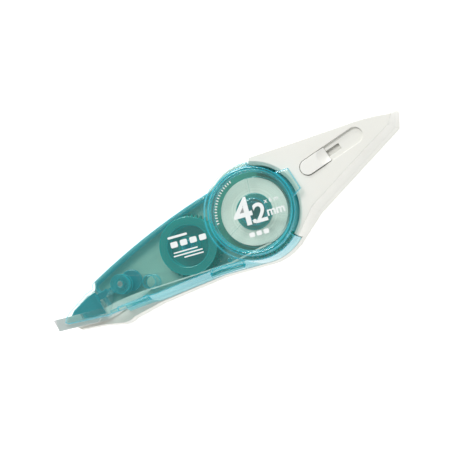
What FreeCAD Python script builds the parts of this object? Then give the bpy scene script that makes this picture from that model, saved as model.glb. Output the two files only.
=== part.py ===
import FreeCAD, Part
import math
import os
import re
import Sketcher
from FreeCAD import Placement, Rotation, Vector

# Correction tape roller: a white holder with a tail, and a clear refill that lifts out of it.
# Frame: the supply reel turns about Z at the origin, the holder's back lies on Z = 0,
# +X runs to the tail and -X to the applicator blade. Millimetres and degrees.

doc = FreeCAD.newDocument("correction_tape_roller")

SIZES = {
    # heights, from the back upwards
    "tray_floor": (1.2, "holder floor thickness"),
    "tray_rim": (4.6, "height of the tray's rim, the parting line"),
    "case_gap": (0.2, "clearance between refill and holder"),
    "case_floor": (1.0, "refill floor thickness"),
    "case_top": (12.5, "height of the refill's top face"),
    "case_wall": (1.0, "refill wall thickness"),
    "ring_top": (16.0, "height of the ring round the window"),
    "gear_lift": (0.5, "gap under the gears"),
    "gear_width": (1.3, "width of the gears' teeth"),
    "flange_gap": (0.45, "gap above and below a reel's parts"),
    "flange": (0.6, "thickness of a reel's flange"),
    "tape_width": (4.2, "width of the correction tape"),
    # refill plan
    "ring_reach": (17.6, "radius of the refill's skirt round the ring"),
    "step_reach": (16.7, "radius of the step round the ring"),
    "ring_outer": (15.0, "radius of the ring's outside"),
    "ring_inner": (14.0, "radius of the window's seat"),
    "ring_lip": (13.2, "radius inside the lip under the window"),
    "tail_reach": (15.5, "radius of the refill on the tail side"),
    "shoulder_up": (65.0, "angle where the upper shoulder ends"),
    "shoulder_low": (60.0, "angle where the lower shoulder ends"),
    "neck_back": (8.0, "where the upper edge leaves the ring"),
    "edge_curve": (230.0, "radius of the upper edge's long curve"),
    "brow_back": (60.5, "front end of the upper edge"),
    "brow_side": (10.2, "half width at the front end of the upper edge"),
    "case_draft": (16.0, "slope of the refill's side walls"),
    "nose_back": (76.4, "reach of the refill's nose"),
    "foot_back": (20.4, "where the lower edge bends"),
    "foot_side": (12.4, "lower edge at that bend"),
    "heel_back": (44.2, "where the lower edge steps in"),
    "heel_side": (8.3, "lower edge at that step"),
    "nose_side": (4.4, "lower edge at the nose's root"),
    # holder
    "tray_flare": (0.6, "how far the tray stands out from the refill"),
    "tray_lean": (0.5, "how far the tray's wall leans in to its rim"),
    "tray_wall": (1.0, "holder wall thickness"),
    "holder_bore": (15.8, "radius of the holder's seat on the tail side"),
    "holder_mouth": (16.9, "radius of that seat at its chamfered mouth"),
    "tail_back": (58.6, "reach of the tail"),
    "tail_top": (12.4, "height of the tail's top face at the ring"),
    "tail_low": (9.4, "height of the tail's top face at its end"),
    "tail_draft": (13.0, "slope of the tail's side walls"),
    "tail_skin": (1.5, "tail top thickness"),
    "track_start": (23.6, "centre of the track's front end"),
    "track_side": (2.9, "how far the track lies off the axis"),
    "track_turn": (3.0, "angle of the track to the axis"),
    "track_radius": (2.85, "half width of the track"),
    "track_depth": (0.8, "depth of the track"),
    "slot_half": (1.1, "half width of the slot in the track's floor"),
    "slider_travel": (10.0, "travel of the thumb slider"),
    "slider_proud": (0.5, "how far the slider stands above the cover"),
    # drive
    "gear_module": (0.5, "module of both gears"),
    "supply_teeth": (60, "teeth on the supply gear"),
    "take_up_teeth": (42, "teeth on the take-up gear"),
    "tooth_tip": (0.45, "height of a tooth above its pitch circle"),
    "tooth_root": (0.6, "depth of a tooth below its pitch circle"),
    "take_up_rise": (4.5, "angle of the take-up axis above the axis"),
    "supply_post": (4.6, "radius of the supply reel's post"),
    "take_up_post": (2.2, "radius of the take-up reel's post"),
    "running_gap": (0.06, "radial clearance of a running fit"),
    "spool_core": (6.3, "radius of the supply spool's core"),
    "spool_flange": (12.2, "radius of the supply spool's flange"),
    "roll_full": (11.5, "radius of the full tape roll"),
    "take_up_core": (8.1, "radius of the take-up spool's core"),
    "film_full": (8.6, "radius of the used film on the take-up spool"),
    "take_up_flange": (10.0, "radius of the take-up spool's flange"),
    "tape_thick": (0.12, "thickness drawn for tape and film"),
    "roller_radius": (3.4, "radius of the guide roller's flanges"),
    "roller_core": (2.6, "radius of the guide roller where the film runs"),
    "roller_back": (52.4, "guide roller, distance from the ring"),
    "roller_side": (3.3, "guide roller, distance off the axis"),
    "pin_radius": (1.0, "radius of the roller's pin"),
    "post_back": (43.4, "guide post, distance from the ring"),
    "post_side": (1.2, "guide post, distance off the axis"),
    "post_radius": (2.4, "radius of the guide post"),
    "peg_back": (15.6, "tape peg, distance from the ring"),
    "peg_side": (9.6, "tape peg, distance off the axis"),
    "peg_radius": (0.8, "radius of the tape peg"),
    # applicator
    "blade_back": (79.4, "reach of the blade's edge"),
    "blade_side": (3.0, "middle of the blade's edge off the axis"),
    "blade_turn": (18.0, "angle of the blade to the axis"),
    "blade_level": (7.4, "height of the blade's edge"),
    "blade_width": (4.4, "width of the blade"),
}

sheet = doc.addObject("Spreadsheet::Sheet", "Sizes")
for row, (alias, (number, note)) in enumerate(SIZES.items(), start=1):
    sheet.set(f"A{row}", note)
    sheet.set(f"B{row}", str(number))
    sheet.setAlias(f"B{row}", alias)
doc.recompute()

PARTS = []


def bound(text):
    """The expression with every size's name turned into its spreadsheet cell."""
    return re.sub(r"[a-z_]+", lambda m: f"Sizes.{m[0]}" if m[0] in SIZES else m[0], str(text))


def value(text):
    return float(sheet.evalExpression(bound(text)))


# Heights that follow from the sizes above.
CASE_LOW = "(tray_floor + case_gap)"
CASE_INSIDE = f"({CASE_LOW} + case_floor)"
GEAR_LOW = f"({CASE_INSIDE} + gear_lift)"
GEAR_HIGH = f"({GEAR_LOW} + gear_width)"
FLANGE_LOW = f"({GEAR_HIGH} + flange_gap)"
TAPE_LOW = f"({FLANGE_LOW} + flange + flange_gap)"
TAPE_HIGH = f"({TAPE_LOW} + tape_width)"
COVER_LOW = "(tray_rim + case_gap)"

# The take-up axis, a gear centre distance from the origin.
CENTRES = "(gear_module * (supply_teeth + take_up_teeth) / 2)"
TAKE_UP_X = f"(-{CENTRES} * cos(take_up_rise))"
TAKE_UP_Y = f"({CENTRES} * sin(take_up_rise))"


# ---- helpers -------------------------------------------------------------------------


def body_sketch(name, plane, height):
    """A new body with a sketch on one of its origin planes, lifted to a height."""
    body = doc.addObject("PartDesign::Body", name)
    sketch = body.newObject("Sketcher::SketchObject", f"{name}_sketch")
    support = next(f for f in body.Origin.OriginFeatures if f.Role == plane)
    sketch.AttachmentSupport = [(support, "")]
    sketch.MapMode = "FlatFace"
    sketch.setExpression("AttachmentOffset.Base.z", bound(height))
    return body, sketch


def pin_point(sketch, edge, end, x, y):
    """Holds one end of an edge at (x, y), two expressions."""
    for kind, text, axis in (("DistanceX", x, -2), ("DistanceY", y, -1)):
        if abs(value(text)) < 1e-7:
            sketch.addConstraint(Sketcher.Constraint("PointOnObject", edge, end, axis))
            continue
        index = sketch.addConstraint(Sketcher.Constraint(kind, -1, 1, edge, end, value(text)))
        sketch.setExpression(f"Constraints[{index}]", bound(text))


def outline(sketch, corners):
    """A closed outline. A corner is (x, y), or (x, y, radius) where the edge that leaves it
    is an arc: a positive radius bends it to the left, a negative one to the right."""
    spots = [(value(c[0]), value(c[1])) for c in corners]
    ends = []
    for i, corner in enumerate(corners):
        a, b = spots[i], spots[(i + 1) % len(corners)]
        if len(corner) == 2:
            edge = sketch.addGeometry(Part.LineSegment(Vector(*a, 0), Vector(*b, 0)))
            ends.append((edge, 1, 2))
            continue
        radius = value(corner[2])
        left = radius > 0
        dx, dy = b[0] - a[0], b[1] - a[1]
        chord = math.hypot(dx, dy)
        rise = math.sqrt(radius**2 - chord**2 / 4) * (1 if left else -1)
        centre = ((a[0] + b[0]) / 2 - dy / chord * rise, (a[1] + b[1]) / 2 + dx / chord * rise)
        start, stop = (a, b) if left else (b, a)
        angles = [math.atan2(p[1] - centre[1], p[0] - centre[0]) for p in (start, stop)]
        circle = Part.Circle(Vector(*centre, 0), Vector(0, 0, 1), abs(radius))
        edge = sketch.addGeometry(Part.ArcOfCircle(circle, *angles))
        index = sketch.addConstraint(Sketcher.Constraint("Radius", edge, abs(radius)))
        sketch.setExpression(f"Constraints[{index}]", bound(f"abs({corner[2]})"))
        ends.append((edge, 1, 2) if left else (edge, 2, 1))
    for i, (edge, first, last) in enumerate(ends):
        following, its_first, _ = ends[(i + 1) % len(ends)]
        pin_point(sketch, edge, first, *corners[i][:2])
        sketch.addConstraint(Sketcher.Constraint("Coincident", edge, last, following, its_first))


def prism(name, corners, low, high, draft="0"):
    """A body padded up from an outline, its walls leaning in by the draft angle."""
    body, sketch = body_sketch(name, "XY_Plane", low)
    outline(sketch, corners)
    pad = body.newObject("PartDesign::Pad", f"{name}_pad")
    pad.Profile = sketch
    pad.setExpression("Length", bound(f"({high}) - ({low})"))
    pad.setExpression("TaperAngle", bound(f"-({draft})"))
    return body


def drafted(name, corners_at, inset_low, inset_high, low, high):
    """A body lofted between one outline at two heights, drawn in by an inset at each."""
    body, sketch = body_sketch(name, "XY_Plane", low)
    outline(sketch, corners_at(inset_low))
    upper = body.newObject("Sketcher::SketchObject", f"{name}_top")
    upper.AttachmentSupport = sketch.AttachmentSupport
    upper.MapMode = "FlatFace"
    upper.setExpression("AttachmentOffset.Base.z", bound(high))
    outline(upper, corners_at(inset_high))
    loft = body.newObject("PartDesign::AdditiveLoft", f"{name}_loft")
    loft.Profile = sketch
    loft.Sections = [upper]
    loft.Ruled = True
    return body


def side_prism(name, corners, half):
    """A body padded both ways along Y from an outline in X and Z."""
    body, sketch = body_sketch(name, "XZ_Plane", "0")
    outline(sketch, corners)
    pad = body.newObject("PartDesign::Pad", f"{name}_pad")
    pad.Profile = sketch
    pad.Midplane = True
    pad.setExpression("Length", bound(f"2 * ({half})"))
    return body


def turned(name, profile, x="0", y="0"):
    """A body of revolution about an upright axis at (x, y); its profile is (radius, height)."""
    body, sketch = body_sketch(name, "XZ_Plane", "0")
    outline(sketch, profile)
    spin = body.newObject("PartDesign::Revolution", f"{name}_turn")
    spin.Profile = sketch
    spin.ReferenceAxis = (sketch, ["V_Axis"])
    spin.Angle = 360
    body.setExpression("Placement.Base.x", bound(x))
    body.setExpression("Placement.Base.y", bound(y))
    return body


def tube(name, outer, inner, low, high, x="0", y="0"):
    corners = [(inner, low), (outer, low), (outer, high), (inner, high)]
    return turned(name, corners, x, y)


def post(name, radius, low, high, x="0", y="0"):
    cylinder = doc.addObject("Part::Cylinder", name)
    cylinder.setExpression("Radius", bound(radius))
    cylinder.setExpression("Height", bound(f"({high}) - ({low})"))
    cylinder.setExpression("Placement.Base.x", bound(x))
    cylinder.setExpression("Placement.Base.y", bound(y))
    cylinder.setExpression("Placement.Base.z", bound(low))
    return cylinder


def bar(name, length, width, low, high, x, y, turn="0", back="0"):
    """A box centred across its width, that starts `back` behind (x, y) and runs along `turn`."""
    box = doc.addObject("Part::Box", name)
    box.setExpression("Length", bound(length))
    box.setExpression("Width", bound(width))
    box.setExpression("Height", bound(f"({high}) - ({low})"))
    box.Placement = Placement(Vector(0, 0, 0), Rotation(Vector(0, 0, 1), 0))
    box.setExpression("Placement.Rotation.Angle", bound(turn))
    offset_x = f"{x} - ({back}) * cos({turn}) + ({width}) / 2 * sin({turn})"
    offset_y = f"{y} - ({back}) * sin({turn}) - ({width}) / 2 * cos({turn})"
    box.setExpression("Placement.Base.x", bound(offset_x))
    box.setExpression("Placement.Base.y", bound(offset_y))
    box.setExpression("Placement.Base.z", bound(low))
    return box


def fused(name, *shapes):
    result = doc.addObject("Part::MultiFuse", name)
    result.Shapes = list(shapes)
    result.Refine = True
    return result


def shared(name, *shapes):
    result = doc.addObject("Part::MultiCommon", name)
    result.Shapes = list(shapes)
    return result


def cut(name, base, *tools):
    """The base less each tool."""
    tool = tools[0] if len(tools) == 1 else fused(f"{name}_tools", *tools)
    result = doc.addObject("Part::Cut", name)
    result.Base = base
    result.Tool = tool
    return result


def keep(part, label):
    """Names a finished sub-part; its label is its node's name."""
    part.Label = label
    PARTS.append(part)
    return part


# ---- outlines ------------------------------------------------------------------------


def front_corners(inset):
    """The refill's front half in plan, drawn in by an inset, from the ring's upper side
    along the upper edge, across the nose's root and back along the lower edge."""
    inset = f"({inset})"
    ring = f"(ring_reach - {inset})"
    return [
        ("-neck_back", f"sqrt({ring}^2 - neck_back^2)", f"edge_curve - {inset}"),
        ("-brow_back", f"brow_side - {inset}", f"3.5 - {inset}"),
        (f"-brow_back - 2.6 + {inset}", f"brow_side - 3 - {inset} * 0.4"),
        (f"-brow_back - 1.2 + {inset}", f"-nose_side + {inset}"),
        ("-heel_back - 2.4", f"-heel_side + 0.9 + {inset}"),
        ("-heel_back", f"-heel_side + {inset}"),
        ("-foot_back", f"-foot_side + {inset}"),
        (f"{ring} * cos(250)", f"{ring} * sin(250)"),
    ]


def nose_corners(inset):
    """The refill's nose in plan, rooted inside the front half."""
    inset = f"({inset})"
    return [
        ("-brow_back + 4", f"7.6 - {inset}"),
        ("-brow_back - 4", f"7.1 - {inset}"),
        ("-nose_back + 4.0", f"4.9 - {inset}", f"7 - {inset}"),
        (f"-nose_back + {inset} * 1.6", "2.0"),
        (f"-nose_back + 1.2 + {inset}", f"0.7 + {inset} * 0.8"),
        ("-brow_back - 1", f"-nose_side + {inset}"),
        ("-brow_back + 4", f"-nose_side - 0.9 + {inset}"),
    ]


def sector(name, inner, outer, low, high, spare):
    """The region on the tail side between two radii, from shoulder to shoulder."""
    inner, outer = f"({inner})", f"({outer})"
    up = f"(shoulder_up + {spare})"
    down = f"(shoulder_low + {spare})"
    corners = [
        (f"{inner} * cos({up})", f"{inner} * sin({up})", f"-({inner})"),
        (inner, "0", f"-({inner})"),
        (f"{inner} * cos({down})", f"-{inner} * sin({down})"),
        (f"{outer} * cos({down})", f"-{outer} * sin({down})"),
        (f"{outer} * 1.2", f"-{outer}"),
        (f"{outer} * 1.2", outer),
        (f"{outer} * cos({up})", f"{outer} * sin({up})"),
    ]
    return prism(name, corners, low, high)


def tray_corners(inset, ring_inset=None):
    """The holder's back in plan: ring, front, pointed nose and tail. The ring's stretch
    can lean in less than the rest."""
    ring = f"(ring_reach + tray_flare - ({ring_inset or inset}))"
    inset = f"({inset})"
    return [
        (f"{ring} * cos(76)", f"{ring} * sin(76)", ring),
        ("-neck_back", f"sqrt({ring}^2 - neck_back^2)", f"edge_curve + tray_flare - {inset}"),
        ("-brow_back", f"brow_side + 0.2 - {inset}"),
        (f"-brow_back - 2.4 + {inset}", f"brow_side - 3.4 - {inset} * 0.4"),
        ("-nose_back + 4.4", f"4.6 - {inset}", f"5 - {inset}"),
        (f"-nose_back + 0.9 + {inset}", "1.2"),
        (f"-nose_back + 2.8 + {inset}", f"-2.5 + {inset}"),
        ("-brow_back - 4.2", f"-5.6 + {inset}"),
        (f"-brow_back + 1", f"-8.2 + {inset}", f"6 - {inset}"),
        ("-brow_back + 5.5", f"-8.6 + {inset}"),
        ("-heel_back", f"-heel_side - tray_flare - 0.3 + {inset}"),
        ("-foot_back", f"-foot_side - tray_flare + {inset}"),
        (f"{ring} * cos(250)", f"{ring} * sin(250)", ring),
        (f"{ring} * cos(298)", f"{ring} * sin(298)"),
        ("18.2", f"-11.4 + {inset}"),
        (f"tail_back - 2.9 - {inset}", f"-0.9 + {inset} * 1.2"),
        (f"tail_back - {inset}", f"4.2 - {inset} * 0.3", f"1.6"),
        (f"tail_back - 1.1 - {inset}", f"5.9 - {inset}", f"70"),
        ("tail_back - 14", f"9.8 - {inset}"),
    ]


def cover_corners(inset):
    """The tail cover's plan: its shoulders stand upright round the ring."""
    return tray_corners(inset, "(tray_lean - 0.1)")


def tail_hollow_corners(inset):
    """The hollow inside the tail in plan."""
    inset = f"({inset})"
    return [
        ("10", f"15.9 - {inset}"),
        ("10", f"-13.2 + {inset}"),
        (f"tail_back - 6 - {inset}", f"-2.6 + {inset}"),
        (f"tail_back - 6 - {inset}", f"7.8 - {inset}"),
        ("tail_back - 14", f"9.8 - {inset}"),
    ]


# ---- holder --------------------------------------------------------------------------


def tail_side(name, low, high_front, high_back):
    """A slab in side view whose top falls from the ring to the tail's end."""
    corners = [("4", low), ("tail_back + 2", low), ("tail_back + 2", high_back)]
    corners += [("16", high_front), ("4", high_front)]
    return side_prism(name, corners, "30")


def make_holder_tray():
    shell = drafted("tray_shell", tray_corners, "0", "tray_lean", "0", "tray_rim")
    # the pocket for the refill: the front, the nose and a round seat
    pocket_front = prism("tray_front", front_corners("tray_wall"), "tray_floor", "tray_rim + 1")
    pocket_nose = prism("tray_nose", nose_corners("0.6"), "tray_rim - 1.6", "tray_rim + 1")
    pocket_ring = post("tray_seat", "holder_bore", "tray_floor", "tray_rim + 1")
    wide_ring = post("tray_wide_seat", "ring_reach - tray_wall", "tray_floor", "tray_rim + 1")
    wall = sector("tray_shoulder", "holder_bore", "26", "0", "tray_rim + 2", "-1")
    front_ring = cut("tray_front_seat", wide_ring, wall)
    inside = prism("tray_tail", tail_hollow_corners("1.9"), "tray_floor", "tray_rim + 1")
    seat_wall = post("tray_seat_wall", "holder_bore + tray_wall", "0", "tray_rim + 2")
    front_half = side_prism(
        "tray_front_half",
        [("-90", "-1"), ("11", "-1"), ("11", "20"), ("-90", "20")],
        "30",
    )
    tail_hollow = cut("tray_tail_hollow", inside, seat_wall, front_half)
    # the underside of the nose rises towards the blade
    rise = side_prism(
        "tray_rise",
        [("-92", "-1"), ("-58", "-1"), ("-58", "0"), ("-92", "4.6")],
        "30",
    )
    tray = cut(
        "holder_tray_solid",
        shell,
        pocket_front,
        pocket_nose,
        pocket_ring,
        front_ring,
        tail_hollow,
        rise,
    )
    spring_post = bar("spring_post", "3.4", "4.0", "tray_floor - 0.4", "6.2", "45.8", "3.9")
    return keep(fused("holder_tray", tray, spring_post), "holder_tray")


def make_tail_cover():
    low = "(tray_rim)"
    lean = "(tray_lean + (tail_top - tray_rim) * tan(tail_draft))"
    block = drafted("cover_block", cover_corners, "tray_lean", lean, low, "tail_top")
    side = tail_side("cover_side", low, "tail_top", "tail_low")
    whole = shared("cover_whole", block, side)
    reach = sector("cover_reach", "holder_bore - 2", "60", "0", "20", "-0.6")
    shoulders = shared("cover_shoulders", whole, reach)
    bore = post("cover_bore", "holder_bore", "0", "20")
    chamfer = turned(
        "cover_mouth",
        [("0", "11"), ("holder_bore - 0.01", "11"), ("holder_mouth", "tail_top + 0.01")]
        + [("holder_mouth", "14"), ("0", "14")],
    )
    inner_lean = f"({lean} + 1.4)"
    inner = drafted("cover_inner", tail_hollow_corners, "1.9", inner_lean, low, "tail_top")
    under = tail_side("cover_under", low, "tail_top - tail_skin", "tail_low - tail_skin")
    hollow_block = shared("cover_hollow_block", inner, under)
    seat_wall = post("cover_seat_wall", "holder_bore + tray_wall", "0", "20")
    front_half = side_prism(
        "cover_front_half",
        [("-90", "-1"), ("11", "-1"), ("11", "20"), ("-90", "20")],
        "30",
    )
    hollow = cut("cover_hollow", hollow_block, seat_wall, front_half)
    track = track_shape("track", "track_radius", "-track_depth", "6")
    slot = bar(
        "track_slot",
        "slider_travel + 1.9",
        "2 * slot_half",
        "5",
        "14",
        "track_start",
        "track_side",
        "track_turn",
        "-1.0",
    )
    nose_slot = bar("tongue_window", "8", "5.2", "8.3", "11", "13", "track_side - 0.4")
    cover = cut("tail_cover", shoulders, bore, chamfer, hollow, track, slot, nose_slot)
    return keep(cover, "tail_cover")


# The tail's top face falls by this much for each millimetre along X.
FALL = "((tail_top - tail_low) / (tail_back + 2 - 16))"


def track_level(x):
    """Height of the tail's top face at x."""
    return f"(tail_top - {FALL} * ({x} - 16))"


def lay_on_tail(part, x, y, height):
    """Tips a part onto the tail's sloping top face, with its origin over (x, y)."""
    part.Placement.Rotation = Rotation(Vector(0, 0, 1), value("track_turn")).multiply(
        Rotation(Vector(0, 1, 0), math.degrees(math.atan(value(FALL))))
    )
    part.setExpression("Placement.Base.x", bound(x))
    part.setExpression("Placement.Base.y", bound(y))
    part.setExpression("Placement.Base.z", bound(f"{track_level(x)} + {height}"))


def pill_corners(length, radius):
    """A pill in plan, from the centre of its front end along +X."""
    return [
        ("0", radius, radius),
        (f"-({radius})", "0", radius),
        ("0", f"-({radius})"),
        (length, f"-({radius})", radius),
        (f"{length} + {radius}", "0", radius),
        (length, radius),
    ]


def track_shape(name, radius, low, high):
    body = prism(name, pill_corners("(slider_travel + 9)", radius), low, high)
    lay_on_tail(body, "track_start", "track_side", "0")
    return body


def make_slider():
    """The thumb button: a round front end, a dish for the thumb, and two snap legs."""
    radius = "(track_radius - 0.25)"
    reach = "8.0"
    corners = [
        (reach, f"-({radius})"),
        (reach, radius),
        ("0", radius, radius),
        (f"-({radius})", "0", radius),
        ("0", f"-({radius})"),
    ]
    cap = prism("slider_cap", corners, "-track_depth + 0.1", "slider_proud")
    ball = doc.addObject("Part::Sphere", "slider_dish")
    ball.Radius = 8
    ball.setExpression("Placement.Base.x", bound(f"{reach} - 0.2"))
    ball.setExpression("Placement.Base.z", bound("slider_proud + 7.15"))
    leg = bar("slider_leg", "1.6", "2 * slot_half - 0.4", "-3.3", "-track_depth + 0.2", "1.2", "0")
    button = cut("slider_button", cap, ball)
    slider = fused("thumb_slider", button, leg)
    lay_on_tail(slider, "track_start", "track_side", "0")
    return keep(slider, "thumb_slider")


def make_lock_tongue():
    """The plate that the slider's leg snaps into. Its nose reaches to the refill and its
    rear end closes the slot from below."""
    plate = bar("tongue_plate", "slider_travel + 11.4", "3", "-3.4", "-1.8", "-7.5", "0")
    socket = bar("tongue_socket", "1.64", "2 * slot_half - 0.36", "-5", "-1", "1.18", "0")
    tongue = cut("lock_tongue", plate, socket)
    lay_on_tail(tongue, "track_start", "track_side", "0")
    return keep(tongue, "lock_tongue")


def make_detent_spring():
    """A bowed leaf spring on the tray's post; its crest lies under the tongue."""
    foot, crest, tip, thick = "6.2", "6.8", "5.8", "0.3"
    corners = [
        ("49", foot),
        ("49", f"{foot} + {thick}"),
        ("45", f"{foot} + {thick}"),
        ("39", f"{crest} + {thick}", "3"),
        ("36", f"{crest} + {thick}"),
        ("30", f"{tip} + {thick}"),
        ("30", tip),
        ("36", crest, "-2.7"),
        ("39", crest),
        ("45", foot),
    ]
    spring = side_prism("detent_spring", corners, "1.8")
    spring.Placement.Base = Vector(0, 3.9, 0)
    return keep(spring, "detent_spring")


# ---- refill --------------------------------------------------------------------------


def refill_outside(name, inset, low, high):
    """The refill in plan as one upright block, drawn in by an inset."""
    front = prism(f"{name}_front", front_corners(inset), low, high)
    ring = post(f"{name}_ring", f"ring_reach - ({inset})", low, high)
    return fused(name, front, ring)


# The lower case's two snap tongues: length, width, front end (x, y), turn, how far in
# the stem stands, where along the tongue it starts and how long it is.
SNAPS = (
    ("14.4", "1.3", "-60.2", "-3.3", "-10.5", "0.9", "12.4", "1.9"),
    ("12", "1.6", "-23.9", "-10.9", "-13.9", "1.9", "0.6", "5.6"),
)
SNAP_LOW, SNAP_HIGH = "8", "10.2"


def make_snap(number, length, width, x, y, turn, reach, start, stem):
    """A tongue that shows in the upper case's wall, on a stem from the floor."""

    def beside(shift):
        return f"{x} - ({shift}) * sin({turn})", f"{y} + ({shift}) * cos({turn})"

    def stretch(name, run, wide, low, shift):
        place = (*beside(shift), turn, f"-{start}")
        return bar(f"{name}_{number}", run, wide, low, SNAP_HIGH, *place)

    blade = bar(f"snap_{number}", length, width, SNAP_LOW, SNAP_HIGH, x, y, turn)
    upright = stretch("snap_stem", stem, "0.7", f"{CASE_INSIDE} - 0.4", reach)
    link = f"{reach} + 0.35 + {width} / 2"
    shelf = stretch("snap_shelf", stem, link, SNAP_LOW, f"({reach} + 0.35 - {width} / 2) / 2")
    return [blade, upright, shelf]


def make_lower_case():
    rim = "tray_wall + case_gap"
    block = refill_outside("lower_block", rim, CASE_LOW, "tray_rim")
    inner = refill_outside("lower_inner", f"{rim} + case_wall * 0.8", CASE_INSIDE, "tray_rim + 1")
    shoulder = sector("lower_shoulder", "tail_reach", "30", "0", "20", "1")
    opened = sector("lower_opening", "tail_reach - 2.2", "30", CASE_INSIDE, "20", "1")
    tray = cut("lower_tray", block, inner, shoulder, opened)
    pieces = [tray]
    floor = CASE_INSIDE + " - 0.4"
    pieces.append(tube("supply_axle", "supply_post", "3.1", floor, "12.2"))
    pieces.append(
        tube("take_up_axle", "take_up_post", "1.2", floor, "10.9", TAKE_UP_X, TAKE_UP_Y)
    )
    pieces.append(post("tape_peg", "peg_radius", floor, TAPE_HIGH, "-peg_back", "-peg_side"))
    pieces.append(post("guide_post", "post_radius", floor, TAPE_HIGH, "-post_back", "-post_side"))
    for number, snap in enumerate(SNAPS):
        pieces += make_snap(number, *snap)
    return keep(fused("lower_case", *pieces), "lower_case")


def make_upper_case():
    front = prism("upper_front", front_corners("0"), COVER_LOW, "case_top", "case_draft")
    nose = prism("upper_nose", nose_corners("0"), COVER_LOW, "case_top", "5")
    side = side_prism(
        "upper_side",
        [
            ("2", "0"),
            ("2", "case_top"),
            ("-34", "case_top"),
            ("-brow_back - 3", "case_top - 0.8"),
            ("-nose_back - 1", "8.9"),
            ("-nose_back - 1", "0"),
        ],
        "30",
    )
    front_solid = shared("upper_front_solid", fused("upper_plan", front, nose), side)
    ring = turned(
        "upper_ring",
        [
            ("0", COVER_LOW),
            ("ring_reach", COVER_LOW),
            ("step_reach", "case_top + 0.8"),
            ("ring_outer", "case_top + 1"),
            ("ring_outer", "ring_top"),
            ("0", "ring_top"),
        ],
    )
    shoulder = sector("upper_shoulder", "ring_outer", "30", "0", "ring_top", "1")
    outside = cut("upper_outside", fused("upper_solid", front_solid, ring), shoulder)

    hollow_front = prism(
        "upper_hollow_front",
        front_corners("case_wall"),
        COVER_LOW,
        "case_top - case_wall",
        "case_draft",
    )
    hollow_nose = prism("upper_hollow_nose", nose_corners("0.8"), COVER_LOW, "case_top", "5")
    hollow_side = side_prism(
        "upper_hollow_side",
        [
            ("2", "0"),
            ("2", "case_top - case_wall"),
            ("-34", "case_top - case_wall"),
            ("-brow_back - 3", "case_top - 0.8 - case_wall"),
            ("-nose_back + 0.5", "8.9 - case_wall"),
            ("-nose_back + 0.5", "0"),
        ],
        "30",
    )
    hollow_plan = fused("upper_hollow_plan", hollow_front, hollow_nose)
    hollow_solid = shared("upper_hollow_solid", hollow_plan, hollow_side)
    low_ring = turned(
        "upper_hollow_ring",
        [
            ("0", COVER_LOW),
            ("ring_reach - case_wall", COVER_LOW),
            ("step_reach - case_wall", "case_top - 0.4"),
            ("ring_lip", "case_top - 0.2"),
            ("0", "case_top - 0.2"),
        ],
    )
    inner_shoulder = sector("upper_inner_shoulder", "ring_inner", "30", "0", "ring_top", "-2")
    hollow_ring = cut("upper_hollow_round", low_ring, inner_shoulder)
    lip = post("upper_lip", "ring_lip", "case_top - 1", "ring_top")
    seat = post("upper_seat", "ring_inner", "ring_top - 1.5", "ring_top + 1")
    blade_way = prism(
        "upper_mouth",
        [
            ("-nose_back - 3", "-7"),
            ("-brow_back + 5.5", "-7"),
            ("-brow_back + 5.5", "-3.9"),
            ("-brow_back + 2", "-2.4"),
            ("-nose_back + 9", "5.2"),
            ("-nose_back - 3", "6"),
        ],
        COVER_LOW,
        "blade_level + 1.35",
    )
    windows = []
    for number, (length, width, x, y, turn, *_) in enumerate(SNAPS):
        grown = (f"{length} + 0.4", f"{width} + 2.4", f"{SNAP_LOW} - 0.2", f"{SNAP_HIGH} + 0.2")
        windows.append(bar(f"snap_window_{number}", *grown, x, y, turn, "0.2"))
    case = cut(
        "upper_shell",
        outside,
        *windows,
        hollow_solid,
        hollow_ring,
        lip,
        seat,
        blade_way,
    )
    return keep(fused("upper_case", case, make_finger_tab()), "upper_case")


def make_finger_tab():
    """The tab on the ring's tail side that a finger lifts the refill by."""
    root = "(ring_outer - 0.4)"
    corners = [
        (f"{root} * cos(14)", f"-{root} * sin(14)"),
        ("ring_outer + 3.4", "-2.2"),
        ("ring_outer + 3.1", "5.9"),
        (f"{root} * cos(30)", f"{root} * sin(30)", f"-{root}"),
    ]
    return prism("finger_tab", corners, "case_top + 0.9", "case_top + 2.5", "3")


def make_ring_window():
    top = "(ring_top - 0.7)"
    low = "(ring_top - 1.5)"
    plate = post("window_plate", "ring_inner - 0.05", low, top)
    plug = tube("window_plug", "3.04", "2.2", "10.8", f"{low} + 0.2")
    pieces = [plate, plug]
    for number, angle in enumerate(("70", "195", "322")):
        reach = "ring_lip - 3.0"
        rib = bar(f"window_rib_{number}", reach, "0.8", f"{low} - 1.2", f"{low} + 0.2", "0", "0")
        rib.setExpression("Placement.Rotation.Angle", angle)
        rib.setExpression("Placement.Base.x", bound(f"2.8 * cos({angle}) + 0.4 * sin({angle})"))
        rib.setExpression("Placement.Base.y", bound(f"2.8 * sin({angle}) - 0.4 * cos({angle})"))
        pieces.append(rib)
    return keep(fused("ring_window", *pieces), "ring_window")


def blade_corners(spare):
    """The applicator in plan: its edge across the object, its sides turned to the axis."""
    half = f"(blade_width / 2 + {spare})"
    slope = "tan(blade_turn)"
    root = "(blade_back - 66)"
    return [
        (f"-blade_back - {spare}", f"blade_side - {half}"),
        ("-66", f"blade_side - {half} - {root} * {slope}"),
        ("-62", f"-1.0 - {spare}"),
        ("-62", f"1.6 + {spare}"),
        ("-66", f"blade_side + {half} - {root} * {slope}"),
        (f"-blade_back - {spare}", f"blade_side + {half}"),
    ]


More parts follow.
